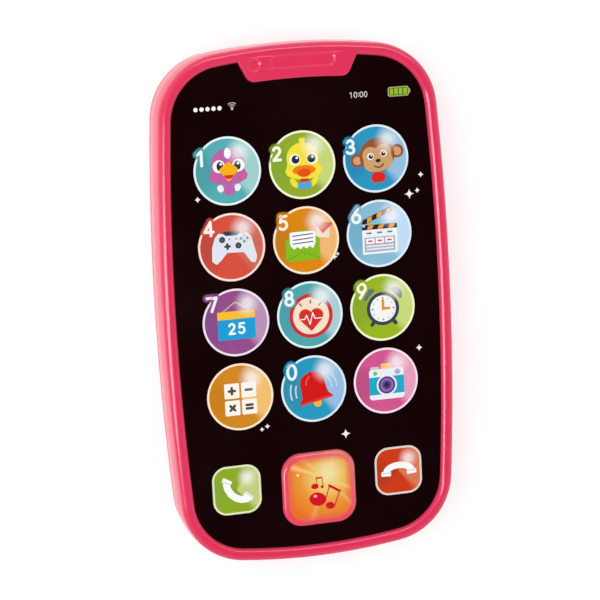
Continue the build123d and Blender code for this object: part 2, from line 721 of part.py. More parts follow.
def all_parts():
    parts = {
        "front_housing": front_housing(),
        "rear_housing": rear_housing(),
        "screen_film": screen_film(),
        "music_button": music_button(),
        "music_label": music_label(),
        "light_reflector": light_reflector(),
        "rubber_keypad": rubber_keypad(),
        "contact_pills": contact_pills(),
        "circuit_board": circuit_board(),
        "board_screws": board_screws(),
        "sound_chip": sound_chip(),
        "leds": leds(),
        "resistors": resistors(),
        "capacitor": capacitor(),
        "speaker_frame": speaker_frame(),
        "speaker_magnet": speaker_magnet(),
        "speaker_cone": speaker_cone(),
        "speaker_ring": speaker_ring(),
        "speaker_screws": speaker_screws(),
        "speaker_wires": speaker_wires(),
        "battery_wires": battery_wires(),
        "switch_wires": switch_wires(),
        "battery_1": cell(-CELL_X, 1),
        "battery_2": cell(CELL_X, -1),
        "battery_springs": battery_springs(),
        "battery_contacts": battery_contacts(),
        "battery_bridge": battery_bridge(),
        "battery_door": battery_door(),
        "battery_door_screw": battery_door_screw(),
        "housing_screws": housing_screws(),
        "switch_body": switch_body(),
        "switch_knob": switch_knob(),
    }
    for name, place in key_centres().items():
        parts[name] = round_key(*place)
    for name, place in call_key_centres().items():
        parts[name] = call_key(*place)
    return parts


os.makedirs("parts", exist_ok=True)
for node, shape in all_parts().items():
    export_step(shape, f"parts/{node}.step")
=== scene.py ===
import math

import bmesh
import bpy
import numpy as np
from mathutils import Matrix, Vector
from mathutils.geometry import tessellate_polygon


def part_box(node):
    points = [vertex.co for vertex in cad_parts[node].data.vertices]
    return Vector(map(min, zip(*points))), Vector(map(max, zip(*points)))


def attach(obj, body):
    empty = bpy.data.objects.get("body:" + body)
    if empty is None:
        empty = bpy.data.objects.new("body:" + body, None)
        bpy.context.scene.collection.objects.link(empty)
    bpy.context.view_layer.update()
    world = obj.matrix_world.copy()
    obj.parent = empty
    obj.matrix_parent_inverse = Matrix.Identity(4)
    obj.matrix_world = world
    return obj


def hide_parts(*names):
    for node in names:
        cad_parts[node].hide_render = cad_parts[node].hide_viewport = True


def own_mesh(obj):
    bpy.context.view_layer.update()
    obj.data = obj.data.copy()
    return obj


# The looks of a toy cell phone that lies on its back: +Z out of the screen, +Y to its top.
# Everything printed on it is drawn here in millimetres, as flat shapes on the screen and keys.

MM = 0.001
TINY = 1e-6
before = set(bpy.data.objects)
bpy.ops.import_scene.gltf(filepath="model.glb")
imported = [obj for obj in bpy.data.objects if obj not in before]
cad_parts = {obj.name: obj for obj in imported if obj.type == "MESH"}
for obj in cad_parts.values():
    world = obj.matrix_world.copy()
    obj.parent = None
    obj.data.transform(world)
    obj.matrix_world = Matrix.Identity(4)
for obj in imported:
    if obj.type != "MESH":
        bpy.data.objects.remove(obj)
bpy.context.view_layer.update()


def placed(name, data):
    """A new object in the scene."""
    made = bpy.data.objects.new(name, data)
    bpy.context.scene.collection.objects.link(made)
    return made


# -------- colours


def colour(red, green, blue):
    """A colour given as a screen shows it, 0 to 255, in the linear values that shaders use."""
    linear = []
    for value in (red, green, blue):
        share = value / 255
        linear.append(share / 12.92 if share <= 0.04045 else ((share + 0.055) / 1.055) ** 2.4)
    return (*linear, 1.0)


# Red, green and blue as a screen shows them.
WHITE = (252, 252, 252)

# -------- flat shapes, as signed distances


class Ink:
    """Draws flat shapes on a square of the print, in millimetres from its middle.

    A shape is a grid of distances to its edge, negative inside, so that shapes can be joined,
    cut and grown. CELL is the spacing of the grid.
    """

    CELL = 0.08

    def __init__(self, half_w, half_h=None):
        half_h = half_h or half_w
        self.xs = np.arange(-half_w, half_w + self.CELL, self.CELL)
        self.ys = np.arange(-half_h, half_h + self.CELL, self.CELL)
        self.x, self.y = np.meshgrid(self.xs, self.ys)

    def turned(self, degrees, x=0.0, y=0.0):
        """The same grid, seen from a frame at (x, y) that is turned anticlockwise."""
        c, s = math.cos(math.radians(degrees)), math.sin(math.radians(degrees))
        other = object.__new__(Ink)
        other.xs, other.ys = self.xs, self.ys
        dx, dy = self.x - x, self.y - y
        other.x, other.y = dx * c + dy * s, dy * c - dx * s
        return other

    def circle(self, x, y, r):
        return np.hypot(self.x - x, self.y - y) - r

    def ellipse(self, x, y, a, b):
        near = np.hypot((self.x - x) / a, (self.y - y) / b)
        slope = np.hypot((self.x - x) / a**2, (self.y - y) / b**2)
        return near * (near - 1) / np.maximum(slope, 1e-6)

    def box(self, x, y, w, h, r=0.0):
        dx = np.abs(self.x - x) - w / 2 + r
        dy = np.abs(self.y - y) - h / 2 + r
        outside = np.hypot(np.maximum(dx, 0), np.maximum(dy, 0))
        return outside + np.minimum(np.maximum(dx, dy), 0) - r

    def shape(self, points, r=0.0):
        """A polygon, grown by r with round corners."""
        closed = [*points, points[0]]
        inside = np.zeros(self.x.shape, bool)
        for (ax, ay), (bx, by) in zip(closed, closed[1:]):
            crosses = (ay > self.y) != (by > self.y)
            if ay != by:
                inside ^= crosses & (self.x < (bx - ax) * (self.y - ay) / (by - ay) + ax)
        edge = self.line(closed, 0)
        return np.where(inside, -edge, edge) - r

    def line(self, points, width):
        """A pen stroke with round ends."""
        best = np.full(self.x.shape, 1e9)
        for (ax, ay), (bx, by) in zip(points, points[1:]):
            best = np.minimum(best, self._to_segment(ax, ay, bx, by))
        return best - width / 2

    def arc(self, x, y, r, start, end, width):
        return self.line(bow(x, y, r, r, start, end), width)

    def star(self, x, y, r):
        """A four-pointed sparkle with hollow sides."""
        dx, dy = np.abs(self.x - x) / r, np.abs(self.y - y) / r
        return (np.sqrt(dx) + np.sqrt(dy) - 1.0) * r * 0.6

    def _to_segment(self, ax, ay, bx, by):
        px, py = self.x - ax, self.y - ay
        dx, dy = bx - ax, by - ay
        share = np.clip((px * dx + py * dy) / max(dx * dx + dy * dy, 1e-9), 0, 1)
        return np.hypot(px - share * dx, py - share * dy)


def bow(x, y, rx, ry, start, end, steps=18):
    """Points along part of an ellipse, from one angle to another in degrees."""
    angles = np.radians(np.linspace(start, end, steps + 1))
    return [(x + rx * math.cos(a), y + ry * math.sin(a)) for a in angles]


def either(*shapes):
    return np.minimum.reduce(shapes)


def both(*shapes):
    return np.maximum.reduce(shapes)


def without(shape, *cuts):
    return np.maximum.reduce([shape, *(-cut for cut in cuts)])


def melted(a, b, soft):
    """Two shapes joined with a soft web between them."""
    share = np.clip(0.5 + 0.5 * (b - a) / soft, 0, 1)
    return b + (a - b) * share - soft * share * (1 - share)


# Each digit is a few pen strokes in a box 0.6 wide and 1 high.
DIGIT_STROKES = {
    "0": [bow(0.30, 0.50, 0.29, 0.50, 0, 360, 28)],
    "1": [[(0.06, 0.80), (0.34, 1.0), (0.34, 0.0)]],
    "2": [bow(0.30, 0.71, 0.27, 0.29, 160, -38) + [(0.04, 0.0), (0.60, 0.0)]],
    "3": [bow(0.27, 0.745, 0.26, 0.255, 150, -90), bow(0.27, 0.25, 0.30, 0.25, 90, -150)],
    "4": [[(0.46, 0.0), (0.46, 1.0), (0.0, 0.27), (0.64, 0.27)]],
    "5": [[(0.56, 1.0), (0.14, 1.0), (0.08, 0.56)] + bow(0.27, 0.32, 0.31, 0.32, 122, -140)],
    "6": [bow(0.30, 0.30, 0.28, 0.30, 0, 360, 24), [(0.44, 1.0), (0.20, 0.66), (0.05, 0.42)]],
    "7": [[(-0.08, 1.0), (0.62, 1.0), (0.22, 0.0)]],
    "8": [bow(0.30, 0.76, 0.23, 0.24, 0, 360, 24), bow(0.30, 0.26, 0.28, 0.26, 0, 360, 24)],
    "9": [bow(0.30, 0.70, 0.28, 0.30, 0, 360, 24), [(0.55, 0.58), (0.40, 0.34), (0.16, 0.0)]],
}


def number(ink, digits, x, y, height, pen):
    """Digits in a row, centred on (x, y)."""
    pitch = 0.86 * height
    strokes = []
    for i, digit in enumerate(digits):
        left = x + (i - (len(digits) - 1) / 2) * pitch - 0.3 * height
        for points in DIGIT_STROKES[digit]:
            stroke = [(left + u * height, y + (v - 0.5) * height) for u, v in points]
            strokes.append(ink.line(stroke, pen))
    return either(*strokes)


# -------- from shapes to thin solids

# In millimetres: how much higher each layer of ink lies, and how far a thinned outline may stray.
LEVEL = 0.008
SMOOTHNESS = 0.006
# A closed line with no more points than this is a speck.
SPECK = 5
# For each way the corners of a cell can lie inside a shape, the pairs of cell sides its edge joins.
# Corners count 1, 2, 4, 8 anticlockwise from the lower left; sides 0 to 3 from the lower one.
CELL_EDGES = {
    1: [(3, 0)], 2: [(0, 1)], 3: [(3, 1)], 4: [(1, 2)], 5: [(3, 0), (1, 2)],
    6: [(0, 2)], 7: [(3, 2)], 8: [(2, 3)], 9: [(2, 0)], 10: [(0, 1), (2, 3)],
    11: [(2, 1)], 12: [(1, 3)], 13: [(1, 0)], 14: [(0, 3)],
}


def outlines(ink, shape):
    """The closed lines round a shape, as lists of points."""
    field = np.pad(shape, 1, constant_values=1.0)
    xs = np.concatenate([[ink.xs[0] - ink.CELL], ink.xs, [ink.xs[-1] + ink.CELL]])
    ys = np.concatenate([[ink.ys[0] - ink.CELL], ink.ys, [ink.ys[-1] + ink.CELL]])
    inside = field < 0
    kinds = inside[:-1, :-1] + 2 * inside[:-1, 1:] + 4 * inside[1:, 1:] + 8 * inside[1:, :-1]
    rows, columns = np.nonzero((kinds > 0) & (kinds < 15))
    follows = {}
    for j, i in zip(rows.tolist(), columns.tolist()):
        sides = ((j, i, 0), (j, i + 1, 1), (j + 1, i, 0), (j, i, 1))
        for start, end in CELL_EDGES[int(kinds[j, i])]:
            follows[sides[start]] = sides[end]

    def crossing(side):
        j, i, upright = side
        near = field[j, i]
        if upright:
            share = near / (near - field[j + 1, i])
            return xs[i], ys[j] + share * ink.CELL
        share = near / (near - field[j, i + 1])
        return xs[i] + share * ink.CELL, ys[j]

    loops = []
    while follows:
        first, side = follows.popitem()
        loop = [crossing(first)]
        while side != first:
            loop.append(crossing(side))
            side = follows.pop(side)
        if len(loop) > SPECK:
            loops.append(thinned(np.array(loop)))
    return [loop for loop in loops if len(loop) > 2]


def thinned(loop):
    """The points of a closed line that its shape needs."""
    far = int(np.argmax(np.hypot(*(loop - loop[0]).T)))
    keep = np.zeros(len(loop) + 1, bool)
    closed = np.vstack([loop, loop[:1]])
    keep[[0, far, len(loop)]] = True
    spans = [(0, far), (far, len(loop))]
    while spans:
        a, b = spans.pop()
        if b - a < 2:
            continue
        chord = closed[b] - closed[a]
        reach = max(np.hypot(*chord), 1e-9)
        rest = closed[a + 1 : b] - closed[a]
        away = np.abs(chord[0] * rest[:, 1] - chord[1] * rest[:, 0]) / reach
        worst = int(np.argmax(away))
        if away[worst] > SMOOTHNESS:
            middle = a + 1 + worst
            keep[middle] = True
            spans += [(a, middle), (middle, b)]
    return closed[:-1][keep[:-1]]


def area(loop):
    """The area inside a closed line, negative if it runs clockwise."""
    x, y = loop.T
    return (x @ np.roll(y, -1) - y @ np.roll(x, -1)) / 2


def holds(loop, point):
    """Whether a closed line goes round a point."""
    (ax, ay), (bx, by) = loop.T, np.roll(loop, -1, axis=0).T
    crosses = (ay > point[1]) != (by > point[1])
    rise = np.where(by == ay, 1, by - ay)
    return np.count_nonzero(crosses & (point[0] < (bx - ax) * (point[1] - ay) / rise + ax)) % 2 == 1


def regions(loops):
    """Each outer line, which runs clockwise, with the holes that lie in it."""
    outer = [loop for loop in loops if area(loop) < 0]
    found = [[loop] for loop in sorted(outer, key=area, reverse=True)]
    for hole in (loop for loop in loops if area(loop) > 0):
        for region in found:
            if holds(region[0], hole[0]):
                region.append(hole)
                break
    return found


class Print:
    """A stack of thin flat solids in printing inks, which becomes one mesh.

    Where the picture's highlight falls, each shape has a second solid just above it, by LIT_RISE
    of a level, in an ink that fades to white.
    """

    LIT_RISE = 0.4

    def __init__(self, ink, highlight=None, ground=None):
        self.ink, self.highlight, self.ground, self.level = ink, highlight, ground, 0
        self.points, self.faces, self.looks, self.slots = [], [], [], []

    def add(self, shape, tint=None, ink=None, at=(0, 0)):
        """Lays a shape on top of the stack. With no colour it shows the picture's ground."""
        tint = tint and colour(*tint)
        self.level += 1
        self._lay(shape, plain_ink(tint) if tint else self.ground, self.level, ink, at)
        if tint and self.highlight:
            x, y, reach, _ = self.highlight
            lit = both(shape, self.ink.circle(x, y, reach))
            if lit.min() < 0:
                self._lay(lit, lit_ink(tint, self.highlight), self.level + self.LIT_RISE, ink, at)

    def circle(self, x, y, r, tint=None):
        self.add(self.ink.circle(x, y, r), tint)

    def ellipse(self, x, y, a, b, tint=None):
        self.add(self.ink.ellipse(x, y, a, b), tint)

    def box(self, x, y, w, h, r, tint=None):
        self.add(self.ink.box(x, y, w, h, r), tint)

    def line(self, points, width, tint=None):
        self.add(self.ink.line(points, width), tint)

    def _lay(self, shape, look, level, ink, at):
        if look not in self.slots:
            self.slots.append(look)
        for loops in regions(outlines(ink or self.ink, shape)):
            self._solid(loops, np.vstack(loops) + at, level * LEVEL, self.slots.index(look))

    def _solid(self, loops, flat, height, slot):
        first, count = len(self.points), len(flat)
        for z in (height, -LEVEL):
            self.points += [(x, y, z) for x, y in flat]
        made = []
        for a, b, c in tessellate_polygon([[Vector((*p, 0)) for p in loop] for loop in loops]):
            (ax, ay), (bx, by), (cx, cy) = flat[a], flat[b], flat[c]
            if (bx - ax) * (cy - ay) < (by - ay) * (cx - ax):
                b, c = c, b
            a, b, c = first + a, first + b, first + c
            made += [(a, b, c), (a + count, c + count, b + count)]
        for loop in loops:
            for i in range(len(loop)):
                a, b = first + i, first + (i + 1) % len(loop)
                made.append((a, b, b + count, a + count))
            first += len(loop)
        self.faces += made
        self.looks += [slot] * len(made)

    def piece(self, name, body, place):
        mesh = bpy.data.meshes.new(name)
        mesh.from_pydata([tuple(MM * v for v in p) for p in self.points], [], self.faces)
        for look in self.slots:
            mesh.materials.append(look)
        mesh.polygons.foreach_set("material_index", self.looks)
        mesh.update()
        made = placed(name, mesh)
        made.location = tuple(MM * v for v in place)
        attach(made, body)
        return made


# -------- materials

RANGE_ENDS = ("From Min", "From Max", "To Min", "To Max")
# How pointed an edge is where it starts to look worn, and where it is worn most.
EDGE_STARTS, EDGE_FULL = 0.56, 0.64


class Shader:
    """A Principled material with small helpers to wire its nodes."""

    def __init__(self, name, base, roughness, **sockets):
        self.material = bpy.data.materials.new(name)
        self.material.use_nodes = True
        self.tree = self.material.node_tree
        self.bsdf = self.tree.nodes["Principled BSDF"]
        self.bsdf.inputs["Base Color"].default_value = base
        self.bsdf.inputs["Roughness"].default_value = roughness
        for socket, value in sockets.items():
            self.bsdf.inputs[socket.replace("_", " ")].default_value = value
        self.base, self.roughness = base, roughness
        self.place = self.node("ShaderNodeTexCoord").outputs["Object"]

    def node(self, kind, **settings):
        made = self.tree.nodes.new(kind)
        for key, value in settings.items():
            setattr(made, key, value)
        return made

    def link(self, source, target):
        self.tree.links.new(source, target)

    def put(self, value, target):
        """Links a socket, or sets a number or a colour."""
        if isinstance(value, bpy.types.NodeSocket):
            self.link(value, target)
        else:
            target.default_value = value

    def calc(self, operation, *values):
        made = self.node("ShaderNodeMath", operation=operation)
        for value, target in zip(values, made.inputs):
            self.put(value, target)
        return made.outputs[0]

    def axes(self):
        """The X, Y and Z of a point of the piece."""
        made = self.node("ShaderNodeSeparateXYZ")
        self.link(self.place, made.inputs[0])
        return made.outputs

    def away(self, x, y):
        """How far a point lies, seen from above, from (x, y) in millimetres."""
        flat = self.node("ShaderNodeVectorMath", operation="MULTIPLY")
        flat.inputs[1].default_value = (1, 1, 0)
        offset = self.node("ShaderNodeVectorMath", operation="DISTANCE")
        offset.inputs[1].default_value = (x * MM, y * MM, 0)
        self.link(self.place, flat.inputs[0])
        self.link(flat.outputs[0], offset.inputs[0])
        return offset.outputs["Value"]

    def around(self, x=0.0, y=0.0):
        """Which way a point lies from (x, y), from 0 to 1 anticlockwise from the left."""
        parts = self.axes()
        run = self.calc("SUBTRACT", parts["X"], x * MM)
        rise = self.calc("SUBTRACT", parts["Y"], y * MM)
        return self.ramp(self.calc("ARCTAN2", rise, run), -math.pi, math.pi)

    def dial(self, source, stops):
        """Colours spread along a value that runs from 0 to 1."""
        made = self.node("ShaderNodeValToRGB")
        self.link(source, made.inputs["Fac"])
        places = made.color_ramp.elements
        while len(places) < len(stops):
            places.new(0.5)
        for place, (share, tint) in zip(places, stops):
            place.position, place.color = share, colour(*tint)
        return made.outputs["Color"]

    def noise(self, size_mm, detail, seed):
        """Cloudy noise from 0 to 1 with grains about this size."""
        made = self.node("ShaderNodeTexNoise", noise_dimensions="4D")
        made.inputs["Scale"].default_value = 1000.0 / size_mm
        made.inputs["Detail"].default_value = detail
        made.inputs["W"].default_value = seed
        self.link(self.place, made.inputs["Vector"])
        return made.outputs["Fac"]

    def ramp(self, source, low, high, to_low=0.0, to_high=1.0):
        made = self.node("ShaderNodeMapRange")
        for end, value in zip(RANGE_ENDS, (low, high, to_low, to_high)):
            made.inputs[end].default_value = value
        self.link(source, made.inputs["Value"])
        return made.outputs["Result"]

    def mix(self, share, first, second):
        """Two colours mixed; each is a colour or a socket, and so is the share."""
        made = self.node("ShaderNodeMix", data_type="RGBA")
        for i, value in ((0, share), (6, first), (7, second)):
            self.put(value, made.inputs[i])
        return made.outputs[2]

    def rough(self, size_mm, spread):
        """Roughness that wanders round its own value."""
        cloud = self.noise(size_mm, 3.0, 1.0)
        smoothest, roughest = max(self.roughness - spread, 0.02), self.roughness + spread
        self.link(self.ramp(cloud, 0.3, 0.7, smoothest, roughest), self.bsdf.inputs["Roughness"])
        return self

    def bump(self, size_mm, height_mm):
        made = self.node("ShaderNodeBump")
        made.inputs["Strength"].default_value = 1.0
        made.inputs["Distance"].default_value = height_mm * MM
        self.link(self.noise(size_mm, 2.0, 2.0), made.inputs["Height"])
        self.link(made.outputs["Normal"], self.bsdf.inputs["Normal"])
        return self

    def tint(self, size_mm, share, other):
        """Soft clouds of another colour."""
        cloud = self.ramp(self.noise(size_mm, 2.0, 3.0), 0.35, 0.7, 0.0, share)
        return self.blend_base(cloud, other)

    def worn(self, other, share=0.5):
        """A lighter colour along sharp edges."""
        edge = self.node("ShaderNodeNewGeometry").outputs["Pointiness"]
        patchy = self.ramp(self.noise(1.5, 3.0, 5.0), 0.4, 0.65)
        near_edge = self.ramp(edge, EDGE_STARTS, EDGE_FULL, 0.0, share)
        return self.blend_base(self.calc("MULTIPLY", near_edge, patchy), other)

    def blend_base(self, share, other):
        """Blends another colour into the base colour."""
        self.base = self.mix(share, self.base, other)
        self.link(self.base, self.bsdf.inputs["Base Color"])
        return self


def moulded(name, tint, roughness, grain=0.6, height=0.004):
    """Injection-moulded plastic: a little cloudiness, a faint texture and rubbed edges."""
    base = colour(*tint)
    made = Shader(f"{name}_look", base, roughness)
    made.tint(14.0, 0.18, lighter(base, 1.25)).worn(lighter(base, 1.8), 0.35)
    return made.rough(9.0, 0.3 * roughness).bump(grain, height).material


def metal(name, tint, roughness):
    base = colour(*tint)
    made = Shader(f"{name}_look", base, roughness, Metallic=1.0)
    made.tint(3.0, 0.3, lighter(base, 0.7)).worn(lighter(base, 1.5), 0.4)
    return made.rough(1.2, 0.4 * roughness).bump(0.25, 0.003).material


def lighter(base, factor):
    return (*(min(factor * value + 0.01 * (factor > 1), 1.0) for value in base[:3]), 1.0)


def shell():
    """Glossy crimson ABS, faintly cloudy and rippled, and a little paler along its edges."""
    made = Shader("crimson_shell_look", colour(229, 52, 92), 0.16, Specular_IOR_Level=0.5)
    made.bsdf.inputs["Subsurface Weight"].default_value = 0.08
    made.bsdf.inputs["Subsurface Radius"].default_value = (1.0, 0.25, 0.3)
    made.bsdf.inputs["Subsurface Scale"].default_value = 0.8 * MM
    made.tint(30.0, 0.10, colour(240, 84, 122)).worn(colour(250, 120, 150), 0.15)
    return made.rough(12.0, 0.03).bump(4.0, 0.0015).material


def film():
    """The gloss black printed sheet of the screen, with the faintest smears."""
    made = Shader("screen_black_look", colour(20, 3, 4), 0.16, Specular_IOR_Level=0.28)
    made.tint(26.0, 0.35, colour(27, 8, 9))
    return made.rough(16.0, 0.07).bump(9.0, 0.004).material


def finishes():
    """A material for each CAD node."""
    looks = {
        "music_button": music_cap(),
        "music_label": moulded("music_label", (245, 170, 60), 0.4),
        "rubber_keypad": moulded("grey_rubber", (150, 150, 150), 0.7, 0.4, 0.01),
        "contact_pills": moulded("carbon", (30, 30, 32), 0.6),
        "circuit_board": moulded("board_green", (24, 96, 52), 0.35),
        "sound_chip": moulded("chip_black", (18, 18, 20), 0.45),
        "leds": moulded("led_white", (250, 248, 235), 0.15),
        "capacitor": moulded("capacitor_sleeve", (30, 40, 90), 0.3),
        "speaker_magnet": metal("magnet_grey", (120, 120, 125), 0.4),
        "speaker_cone": moulded("cone_paper", (24, 24, 26), 0.85, 0.3, 0.02),
        "speaker_ring": moulded("ring", (34, 34, 36), 0.8, 0.3, 0.02),
        "speaker_wires": moulded("wire_blue", (40, 80, 190), 0.4),
        "battery_wires": moulded("wire_red", (200, 30, 30), 0.4),
        "switch_wires": moulded("wire_black", (22, 22, 24), 0.4),
    }
    keys = [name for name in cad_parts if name.startswith("key_")]
    for look, *names in (
        (film(), "screen_film", *keys),
        (shell(), "front_housing", "rear_housing", "battery_door"),
        (metal("screw_steel", (176, 178, 182), 0.32),
         "board_screws", "speaker_screws", "housing_screws", "battery_door_screw"),
        (metal("plated_steel", (205, 205, 200), 0.25),
         "speaker_frame", "battery_springs", "battery_contacts", "battery_bridge"),
        (moulded("white_plastic", (238, 236, 230), 0.35), "light_reflector", "switch_knob"),
        (moulded("black_plastic", (26, 26, 28), 0.4), "resistors", "switch_body"),
        (metal("cell_sleeve", (120, 126, 140), 0.28), "battery_1", "battery_2"),
    ):
        looks.update(dict.fromkeys(names, look))
    return looks


def music_cap():
    """Glossy pink: deep at the lower left, and salmon at the upper right, as if lit from behind."""
    made = Shader("clear_pink_look", colour(238, 72, 98), 0.12, Specular_IOR_Level=0.6)
    parts = made.axes()
    low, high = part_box("music_button")
    middle = (low.x + high.x + low.y + high.y) / 2
    across = made.calc("ADD", parts["X"], parts["Y"])
    lit = made.ramp(across, middle - 2 * MM, middle + 16 * MM, 0.0, 0.85)
    made.blend_base(lit, colour(236, 124, 114))
    made.tint(7.0, 0.2, colour(246, 110, 128)).worn(colour(250, 150, 164), 0.4)
    return made.rough(6.0, 0.04).bump(4.0, 0.004).material


# -------- inks

INKS = {}
# The soft white highlight printed on each picture: its middle, its reach and its strength. On the
# music button it is instead a painted glow of the light shining up through the button.
BEAD_GLINT = (3.4, 5.1, 4.3, 0.66)
CALL_GLINT = (3.0, 3.3, 3.3, 0.66)
MUSIC_GLINT = (3.1, 5.2, 5.0, 0.2)
# How the highlight fades: the share of its reach that is full, and how soon it falls off.
GLINT_CORE, GLINT_FALL = 0.25, 1.6
# The music button's panel, which has a painted pink shade over its outer tenth, where the cap's
# thick walls would tint and darken it; the last number is how strong that shade is at most.
PANEL_W, PANEL_H, PANEL_CORNER, PANEL_EDGE_SHADE = 18.5, 18.2, 5.1, 0.75
# A painted glow on it, of light shining up through the button: its middle, how far it reaches, and
# its colours on the way there.
PAINTED_GLOW, PAINTED_GLOW_REACH = (2.2, 3.2), 13
PAINTED_GLOW_TINTS = (
    (0.0, (238, 222, 142)), (0.28, (238, 206, 112)), (0.6, (238, 152, 58)), (1.0, (236, 116, 34)),
)
# Painted rays of light flaring out round that glow: where they spread from, how far away they start
# and are full, and for each its direction, half its width and its light.
FLARE_MIDDLE, FLARE_START, FLARE_FULL = (1.75, 2.8), 1.5, 4.5
FLARE_RAYS = ((-111, 7, 150), (-48, 5, 190), (-26, 6, 235), (68, 7, 130), (136, 7, 170), (156, 7, 235))


def ink_shader(name, tint):
    """Glossy printing ink, with a faint orange-peel surface."""
    made = Shader(name, tint, 0.24, Specular_IOR_Level=0.25)
    return made.rough(5.0, 0.05).bump(0.5, 0.001)


def glint(made, ground, highlight):
    """Fades a colour to white round the highlight."""
    x, y, reach, strength = highlight
    near = made.ramp(made.away(x, y), reach * MM, GLINT_CORE * reach * MM)
    faded = made.ramp(made.calc("POWER", near, GLINT_FALL), 0.0, 1.0, 0.0, strength)
    made.base = ground
    return made.blend_base(faded, colour(*WHITE)).material


def plain_ink(tint):
    if tint not in INKS:
        INKS[tint] = ink_shader(f"ink_{len(INKS)}", tint).material
    return INKS[tint]


def lit_ink(tint, highlight):
    key = (tint, highlight)
    if key not in INKS:
        INKS[key] = glint(ink_shader(f"lit_ink_{len(INKS)}", tint), tint, highlight)
    return INKS[key]


def bead_ground(name, full, dull, bright, highlight):
    """A picture's ground: duller at the left and brighter at the right, like a glass bead."""
    made = ink_shader(f"{name}_ground", colour(*full))
    degrees = (-180, -155, -120, -58, -40, 45, 84, 135, 160, 180)
    tints = (dull, dull, full, full, bright, bright, full, full, dull, dull)
    stops = [((turn + 180) / 360, tint) for turn, tint in zip(degrees, tints)]
    return glint(made, made.dial(made.around(), stops), highlight)


def painted_edge_shade(made):
    """How much painted pink shade a point of the music button's panel gets: none inside, and most at
    its edge.
    """
    parts, near = made.axes(), []
    for axis, length in zip("XY", (PANEL_W, PANEL_H)):
        off = made.calc("ABSOLUTE", parts[axis])
        near.append(made.ramp(off, 0.4 * length * MM, 0.5 * length * MM))
    return made.ramp(made.calc("MAXIMUM", *near), 0.0, 1.0, 0.0, PANEL_EDGE_SHADE)


def painted_flare(made):
    """How strongly a point of the music button's panel is lit by the painted rays of flare."""
    stops = []
    for turn, half_width, light in FLARE_RAYS:
        for spread, level in ((-half_width, 0), (0, light), (half_width, 0)):
            stops.append(((turn + spread + 180) / 360, (level, level, level)))
    started = made.ramp(made.away(*FLARE_MIDDLE), FLARE_START * MM, FLARE_FULL * MM)
    return made.calc("MULTIPLY", made.dial(made.around(*FLARE_MIDDLE), stops), started)


def music_ground():
    """The music button's panel: orange print with a painted glow of light from behind, pale yellow
    in its middle and orange further out, painted rays, and painted pink shade at its rim.
    """
    made = ink_shader("music_ground", colour(245, 170, 60))
    glowing = made.dial(made.ramp(made.away(*PAINTED_GLOW), 0, PAINTED_GLOW_REACH * MM), PAINTED_GLOW_TINTS)
    flared = made.mix(painted_flare(made), glowing, colour(255, 206, 140))
    return glint(made, made.mix(painted_edge_shade(made), flared, colour(234, 92, 92)), MUSIC_GLINT)


# -------- the prints of the keys

PUPIL = (46, 42, 50)


def bird(a):
    """A plain bird, seen from the front."""
    plum = (190, 98, 168)
    head = melted(a.ink.ellipse(0.2, 2.0, 4.7, 4.2), a.ink.ellipse(0.2, -1.5, 5.4, 2.3), 1.6)
    for side in (-1, 1):
        wing = a.ink.turned(-28 * side, 0.2 + 2.4 * side, -4.7)
        a.add(wing.box(0, 0, 1.7, 2.0, 0.7), (240, 240, 246))
    a.box(0.25, -5.2, 3.2, 2.9, 1.3, plum)
    a.add(head, plum)
    a.ellipse(0.25, 4.9, 0.95, 1.5, WHITE)
    for side in (-1, 1):
        a.circle(0.3 + 4.0 * side, -1.7, 1.15, (208, 92, 160))
        a.circle(0.4 + 2.75 * side, 1.4, 1.75, WHITE)
        a.ellipse(0.4 + 2.45 * side, 1.4, 0.95, 1.3, PUPIL)
        a.circle(0.65 + 2.45 * side, 2.0, 0.36, WHITE)
    beak = a.ink.shape([(-1.7, 0.3), (0.3, 1.9), (2.3, 0.3), (0.3, -2.2)], 0.6)
    a.add(beak, (250, 178, 22))
    a.add(both(a.ink.ellipse(0.3, -1.15, 1.35, 1.0), a.ink.y + 1.1), (214, 52, 42))


def duckling(a):
    """A plain duckling, seen from the front."""
    yellow = (246, 226, 62)
    for side in (-1, 1):
        wing = a.ink.turned(-38 * side, 0.3 + 2.9 * side, -4.9)
        a.add(wing.ellipse(0, 0, 0.8, 1.6), yellow)
    for lean in (-24, 0, 24):
        a.add(a.ink.turned(-lean, 0.2, 5.9).ellipse(0, 0.5, 0.5, 1.2), yellow)
    head = melted(a.ink.ellipse(0.2, 2.1, 4.6, 4.1), a.ink.ellipse(0.4, -1.6, 5.3, 2.5), 1.8)
    a.add(head, yellow)
    for side in (-1, 1):
        a.circle(0.4 + 2.5 * side, 1.6, 1.6, WHITE)
        a.circle(0.4 + 2.25 * side, 1.6, 1.15, PUPIL)
        a.circle(0.75 + 2.25 * side, 2.05, 0.36, WHITE)
    a.ellipse(0.4, -1.5, 3.3, 1.35, (240, 128, 24))
    a.ellipse(0.4, -2.25, 1.9, 1.15, (226, 84, 22))
    a.box(0.4, -5.7, 4.0, 2.1, 0.95, (88, 165, 214))
    a.box(0.4, -4.3, 2.6, 0.9, 0.4, (214, 52, 40))


